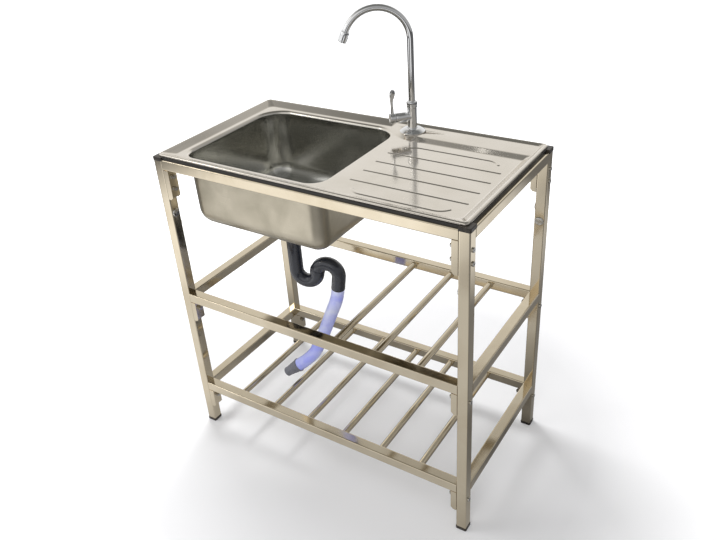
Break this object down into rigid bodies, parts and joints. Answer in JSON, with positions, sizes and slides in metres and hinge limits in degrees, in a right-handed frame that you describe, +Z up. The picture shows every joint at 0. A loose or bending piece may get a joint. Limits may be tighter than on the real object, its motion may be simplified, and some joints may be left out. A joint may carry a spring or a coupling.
{
  "type": "kitchen sink unit",
  "caption": "Free-standing steel sink stand: pressed bowl with drainboard and tap on a square tube frame with slatted shelves, swan-neck trap and waste hose.",
  "frame": {"origin": "on the floor, under the middle of the stand", "axes": "+X to the right along the front, +Y to the back, +Z up"},
  "size_m": [0.8066, 0.427, 1.099],
  "materials": {
    "stand_steel": "polished",
    "bracket_steel": "polished",
    "fastener_steel": "bright",
    "plug_chrome": "polished dome",
    "sink_steel": "satin bowl, polished rim and drainboard",
    "drain_steel": "polished",
    "black_rubber": "matt",
    "black_plastic": "moulded",
    "nut_plastic": "moulded",
    "trap_plastic": "glossy",
    "hose_plastic": "semi-gloss, pale violet white",
    "cuff_rubber": "matt",
    "tap_chrome": "polished",
    "tap_brass": "bare"
  },
  "bodies": {
    "unit": {"bottom_brackets": "bracket_steel", "bottom_rail_back": "stand_steel", "bottom_rail_front": "stand_steel", "bottom_rail_left": "stand_steel", "bottom_rail_right": "stand_steel", "bottom_slat_1": "stand_steel", "bottom_slat_2": "stand_steel", "bottom_slat_3": "stand_steel", "bottom_slat_4": "stand_steel", "bottom_slat_5": "stand_steel", "bottom_slat_6": "stand_steel", "corner_cap_back_left": "black_plastic", "corner_cap_back_right": "black_plastic", "corner_cap_front_left": "black_plastic", "corner_cap_front_right": "black_plastic", "drain_backnut": "nut_plastic", "drain_coupling_nut": "nut_plastic", "drain_flange": "drain_steel", "drain_gasket": "black_rubber", "drain_hose": "hose_plastic", "foot_back_left": "black_plastic", "foot_back_right": "black_plastic", "foot_front_left": "black_plastic", "foot_front_right": "black_plastic", "frame_bolts": "fastener_steel", "frame_nuts": "fastener_steel", "frame_washers": "fastener_steel", "hose_cuff": "cuff_rubber", "leg_back_left": "stand_steel", "leg_back_right": "stand_steel", "leg_front_left": "stand_steel", "leg_front_right": "stand_steel", "leg_hole_plugs": "plug_chrome", "mid_brackets": "bracket_steel", "mid_rail_back": "stand_steel", "mid_rail_front": "stand_steel", "mid_rail_left": "stand_steel", "mid_rail_right": "stand_steel", "mid_slat_1": "stand_steel", "mid_slat_2": "stand_steel", "mid_slat_3": "stand_steel", "seal_back": "black_rubber", "seal_front": "black_rubber", "seal_left": "black_rubber", "seal_right": "black_rubber", "sink_top": "sink_steel", "tap_body": "tap_chrome", "tap_flange": "tap_chrome", "tap_nut": "tap_brass", "top_brackets": "bracket_steel", "top_rail_back": "stand_steel", "top_rail_front": "stand_steel", "top_rail_left": "stand_steel", "top_rail_right": "stand_steel", "trap_swan_bend": "trap_plastic", "trap_u_bend": "trap_plastic"},
    "spout": {"tap_spout": "tap_chrome", "tap_aerator": "tap_chrome"},
    "lever": {"tap_lever": "tap_chrome"},
    "basket": {"strainer_basket": "drain_steel"}
  },
  "joints": [
    {"name": "spout_swivel", "type": "hinge", "parent": "unit", "child": "spout", "pos_m": [0.074, 0.163, 0.878], "axis": [0, 0, 1], "continuous": true},
    {"name": "lever_turn", "type": "hinge", "parent": "unit", "child": "lever", "pos_m": [0.04572, 0.13472, 0.841], "axis": [-0.7071, -0.7071, 0], "range_deg": [-90, 0]},
    {"name": "basket_lift", "type": "slide", "parent": "unit", "child": "basket", "axis": [0, 0, 1], "range_m": [0, 0.1]}
  ]
}
